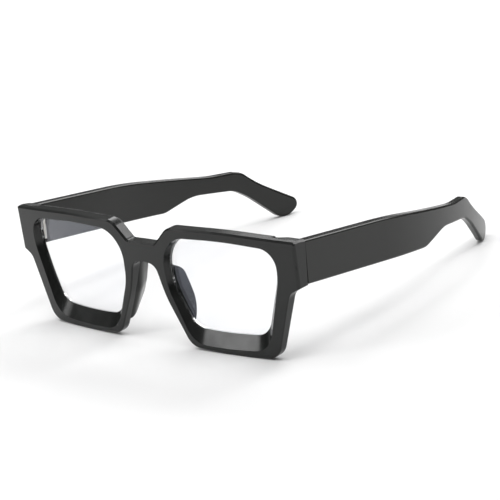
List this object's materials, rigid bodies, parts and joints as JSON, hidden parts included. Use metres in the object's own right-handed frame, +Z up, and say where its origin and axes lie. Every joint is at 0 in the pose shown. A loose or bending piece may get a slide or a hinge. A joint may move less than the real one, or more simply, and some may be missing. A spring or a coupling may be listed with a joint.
{
  "type": "eyeglasses",
  "caption": "Full-rim acetate eyeglasses with soft-square clear lenses, a wide lower rim bevel, fixed nose pads and wide temples that fold on barrel hinges.",
  "frame": {"origin": "on the plane the glasses stand on, midway between the front face and the temple tips, in the centre plane", "axes": "+Z up, +X towards the wearer's left, -Y the way the wearer looks; the temples point to +Y"},
  "size_m": [0.1448, 0.1406, 0.0471],
  "materials": {
    "front_acetate": "satin polished",
    "temple_acetate": "satin polished",
    "pad_acetate": "satin polished",
    "lens": "clear, coated",
    "hinge_metal": "satin nickel silver",
    "screw_metal": "polished",
    "core_metal": "drawn"
  },
  "bodies": {
    "front": {"front_frame": "front_acetate", "lens_left": "lens", "nose_pad_left": "pad_acetate", "hinge_front_leaf_left": "hinge_metal", "hinge_screw_left": "screw_metal", "lens_right": "lens", "nose_pad_right": "pad_acetate", "hinge_front_leaf_right": "hinge_metal", "hinge_screw_right": "screw_metal"},
    "temple_left": {"temple_left": "temple_acetate", "core_wire_left": "core_metal", "hinge_temple_leaf_left": "hinge_metal"},
    "temple_right": {"temple_right": "temple_acetate", "core_wire_right": "core_metal", "hinge_temple_leaf_right": "hinge_metal"}
  },
  "joints": [
    {"name": "fold_left", "type": "hinge", "parent": "front", "child": "temple_left", "pos_m": [0.0662, -0.05833, 0.03486], "axis": [0, 0.0958, 0.9954], "range_deg": [0, 83]},
    {"name": "fold_right", "type": "hinge", "parent": "front", "child": "temple_right", "pos_m": [-0.0662, -0.05833, 0.03486], "axis": [0, -0.0958, -0.9954], "range_deg": [0, 71]}
  ]
}
